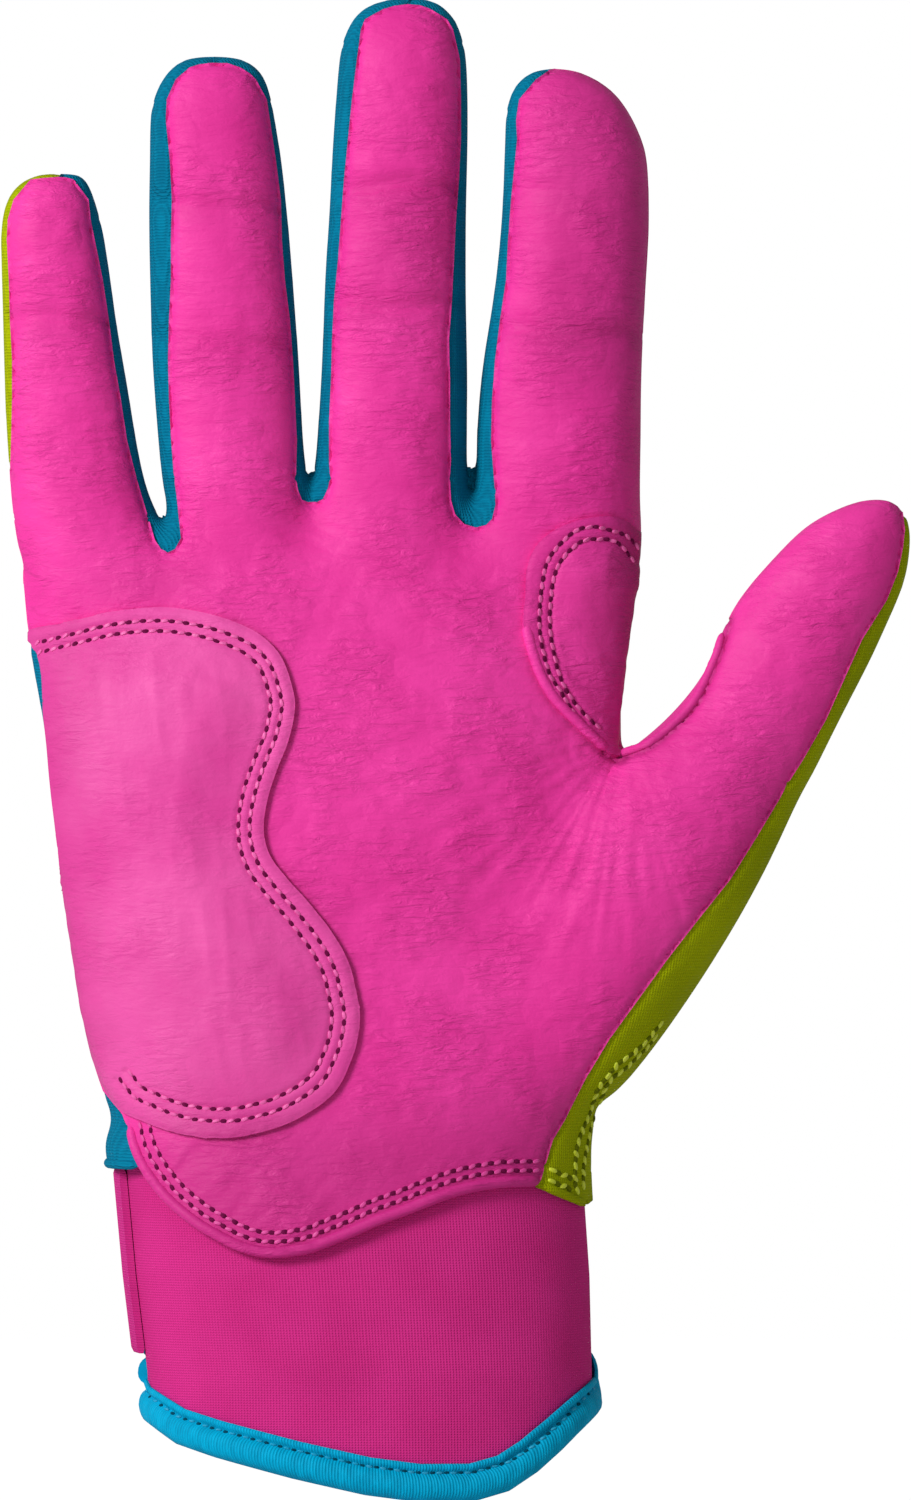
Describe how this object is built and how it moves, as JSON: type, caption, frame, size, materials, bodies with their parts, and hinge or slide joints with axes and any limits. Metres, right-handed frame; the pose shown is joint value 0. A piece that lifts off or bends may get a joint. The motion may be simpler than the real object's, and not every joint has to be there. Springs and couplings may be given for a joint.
{
  "type": "batting glove",
  "caption": "Right-hand batting glove with padded leather palm, stretch fingers that bend at their roots, a neoprene cuff and a peel-back wrist strap.",
  "frame": {"origin": "centre of the wrist opening, level with the hem at the side of the wrist", "axes": "+Z to the fingertips, -Y out of the palm, +X to the thumb side"},
  "size_m": [0.1486, 0.0434, 0.2443],
  "materials": {
    "palm_leather": "soft dyed sheepskin, fine grain",
    "patch_leather": "soft dyed sheepskin over foam, double stitched",
    "green_cloth": "stretch knit",
    "blue_cloth": "stretch knit",
    "cuff_cloth": "foam-backed knit",
    "binding": "folded stretch tape",
    "strap": "foam-backed knit strap",
    "closure_tape": "hook and loop tape",
    "white_cloth": "woven tape",
    "foam": "open-cell foam"
  },
  "bodies": {
    "hand": {"palm_leather": "palm_leather", "thumb_gusset": "palm_leather", "thumb_back_base": "green_cloth", "hand_back_panel": "blue_cloth", "knuckle_flex_panel": "cuff_cloth", "little_ring_web": "blue_cloth", "ring_middle_web": "blue_cloth", "middle_index_web": "blue_cloth", "heel_patch": "patch_leather", "heel_foam": "foam", "index_patch": "patch_leather", "index_foam": "foam", "cuff_front": "cuff_cloth", "cuff_back_ulnar": "cuff_cloth", "cuff_back_thumb": "cuff_cloth", "hem_binding_front": "binding", "hem_binding_back_ulnar": "binding", "hem_binding_back_thumb": "binding", "vent_gusset": "blue_cloth", "wrist_elastic": "white_cloth", "size_label": "white_cloth", "loop_tape": "closure_tape", "strap_anchor": "strap"},
    "strap": {"wrist_strap": "strap", "hook_tape": "closure_tape"},
    "little_finger": {"little_front_leather": "palm_leather", "little_back_panel": "green_cloth", "little_right_fourchette": "blue_cloth"},
    "ring_finger": {"ring_front_leather": "palm_leather", "ring_back_panel": "blue_cloth", "ring_left_fourchette": "blue_cloth", "ring_right_fourchette": "blue_cloth"},
    "middle_finger": {"middle_front_leather": "palm_leather", "middle_back_panel": "blue_cloth", "middle_left_fourchette": "blue_cloth", "middle_right_fourchette": "blue_cloth"},
    "index_finger": {"index_front_leather": "palm_leather", "index_back_panel": "blue_cloth", "index_left_fourchette": "blue_cloth"},
    "thumb_tip": {"thumb_front_leather": "palm_leather", "thumb_back_panel": "green_cloth"}
  },
  "joints": [
    {"name": "little_flex", "type": "hinge", "parent": "hand", "child": "little_finger", "pos_m": [-0.04785, -0.0085, 0.1473], "axis": [0.9962, 0, 0.0872], "range_deg": [0, 80]},
    {"name": "ring_flex", "type": "hinge", "parent": "hand", "child": "ring_finger", "pos_m": [-0.0225, -0.0095, 0.15345], "axis": [0.9984, 0, 0.0567], "range_deg": [0, 80]},
    {"name": "middle_flex", "type": "hinge", "parent": "hand", "child": "middle_finger", "pos_m": [0.0037, -0.0099, 0.15345], "axis": [0.9996, 0, -0.0279], "range_deg": [0, 80]},
    {"name": "index_flex", "type": "hinge", "parent": "hand", "child": "index_finger", "pos_m": [0.03063, -0.0101, 0.1503], "axis": [0.9982, 0, -0.0593], "range_deg": [0, 80]},
    {"name": "thumb_flex", "type": "hinge", "parent": "hand", "child": "thumb_tip", "pos_m": [0.06321, -0.0123, 0.1089], "axis": [0.866, 0, -0.5], "range_deg": [0, 60]},
    {"name": "strap_peel", "type": "hinge", "parent": "hand", "child": "strap", "pos_m": [0.0265, 0.0205, 0.0203], "axis": [0, 0, -1], "range_deg": [0, 100]}
  ]
}
